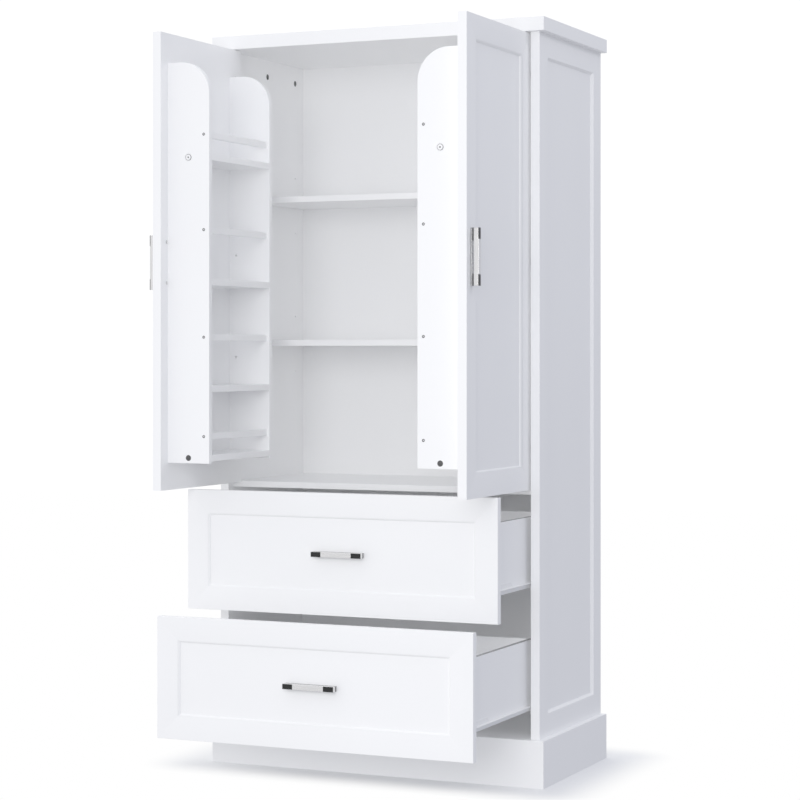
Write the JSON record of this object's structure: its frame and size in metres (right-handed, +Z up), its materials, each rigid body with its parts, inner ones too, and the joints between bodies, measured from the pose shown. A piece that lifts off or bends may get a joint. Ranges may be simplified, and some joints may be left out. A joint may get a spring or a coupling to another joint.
{
  "type": "pantry cabinet",
  "caption": "Tall shaker-style pantry cabinet: hinged doors with storage racks inside, adjustable shelves and pull-out drawers on roller runners, standing on a plinth.",
  "frame": {"origin": "on the floor, at the centre of the plinth's footprint, on the underside of the centre brace", "axes": "+X to the right seen from the front, +Y towards the wall behind the cabinet, +Z up"},
  "size_m": [0.878, 0.821, 1.8],
  "materials": {
    "bright_steel": "zinc-plated steel",
    "handle_bright": "brushed nickel",
    "handle_dark": "satin dark grey",
    "hinge_steel": "nickel-plated pressed steel",
    "roller_plastic": "off-white nylon",
    "white_board": "satin white lacquer over MDF",
    "white_hardboard": "white laminated hardboard",
    "white_runner": "white epoxy-coated sheet steel",
    "zinc": "dark die-cast zinc"
  },
  "bodies": {
    "cabinet": {"adjustable_shelves": "white_board", "back_panels": "white_hardboard", "bottom_panel": "white_board", "cabinet_floor": "white_board", "cabinet_runners": "white_runner", "cam_bolts": "bright_steel", "cam_locks": "zinc", "hinge_arms": "hinge_steel", "left_side_board": "white_board", "left_side_frame": "white_board", "plinth_centre_brace": "white_board", "plinth_front_board": "white_board", "plinth_rear_rail": "white_board", "plinth_side_boards": "white_board", "right_side_board": "white_board", "right_side_frame": "white_board", "shelf_pins": "bright_steel", "top_panel": "white_board"},
    "left_door": {"left_door_frame": "white_board", "left_door_handle_base": "handle_dark", "left_door_handle_grip": "handle_bright", "left_door_handle_screws": "bright_steel", "left_door_panel": "white_board", "left_hinge_cups": "hinge_steel", "left_rack_fasteners": "zinc", "left_rack_rails": "white_board", "left_rack_shelves": "white_board", "left_rack_sides": "white_board"},
    "right_door": {"right_door_frame": "white_board", "right_door_handle_base": "handle_dark", "right_door_handle_grip": "handle_bright", "right_door_handle_screws": "bright_steel", "right_door_panel": "white_board", "right_hinge_cups": "hinge_steel", "right_rack_fasteners": "zinc", "right_rack_rails": "white_board", "right_rack_shelves": "white_board", "right_rack_sides": "white_board"},
    "upper_drawer": {"upper_drawer_back": "white_board", "upper_drawer_bottom": "white_hardboard", "upper_drawer_frame": "white_board", "upper_drawer_front": "white_board", "upper_drawer_handle_base": "handle_dark", "upper_drawer_handle_grip": "handle_bright", "upper_drawer_handle_screws": "bright_steel", "upper_drawer_runners": "white_runner", "upper_drawer_sides": "white_board"},
    "lower_drawer": {"lower_drawer_back": "white_board", "lower_drawer_bottom": "white_hardboard", "lower_drawer_frame": "white_board", "lower_drawer_front": "white_board", "lower_drawer_handle_base": "handle_dark", "lower_drawer_handle_grip": "handle_bright", "lower_drawer_handle_screws": "bright_steel", "lower_drawer_runners": "white_runner", "lower_drawer_sides": "white_board"},
    "upper_bay_rollers": {"upper_bay_rollers": "roller_plastic"},
    "lower_bay_rollers": {"lower_bay_rollers": "roller_plastic"},
    "upper_drawer_rollers": {"upper_drawer_rollers": "roller_plastic"},
    "lower_drawer_rollers": {"lower_drawer_rollers": "roller_plastic"}
  },
  "joints": [
    {"name": "left_door_hinge", "type": "hinge", "parent": "cabinet", "child": "left_door", "pos_m": [-0.39, -0.206, 1.229], "axis": [0, 0, -1], "range_deg": [-90, 20]},
    {"name": "right_door_hinge", "type": "hinge", "parent": "cabinet", "child": "right_door", "pos_m": [0.39, -0.206, 1.229], "axis": [0, 0, 1], "range_deg": [-90, 20]},
    {"name": "upper_drawer_slide", "type": "slide", "parent": "cabinet", "child": "upper_drawer", "axis": [0, -1, 0], "range_m": [-0.208, 0.15]},
    {"name": "lower_drawer_slide", "type": "slide", "parent": "cabinet", "child": "lower_drawer", "axis": [0, -1, 0], "range_m": [-0.355, 0.003]},
    {"name": "upper_bay_roller_spin", "type": "hinge", "parent": "cabinet", "child": "upper_bay_rollers", "pos_m": [0, -0.182, 0.467], "axis": [1, 0, 0], "range_deg": [-1656, 1194]},
    {"name": "upper_drawer_roller_spin", "type": "hinge", "parent": "upper_drawer", "child": "upper_drawer_rollers", "pos_m": [0, -0.0165, 0.467], "axis": [1, 0, 0], "range_deg": [-1656, 1194]},
    {"name": "lower_bay_roller_spin", "type": "hinge", "parent": "cabinet", "child": "lower_bay_rollers", "pos_m": [0, -0.182, 0.178], "axis": [1, 0, 0], "range_deg": [-2826, 24]},
    {"name": "lower_drawer_roller_spin", "type": "hinge", "parent": "lower_drawer", "child": "lower_drawer_rollers", "pos_m": [0, -0.1635, 0.178], "axis": [1, 0, 0], "range_deg": [-2826, 24]}
  ],
  "couplings": [
    {"joint": "upper_bay_roller_spin", "follows": "upper_drawer_slide", "rad_per_m": 138.89},
    {"joint": "upper_drawer_roller_spin", "follows": "upper_drawer_slide", "rad_per_m": 138.89},
    {"joint": "lower_bay_roller_spin", "follows": "lower_drawer_slide", "rad_per_m": 138.89},
    {"joint": "lower_drawer_roller_spin", "follows": "lower_drawer_slide", "rad_per_m": 138.89}
  ]
}
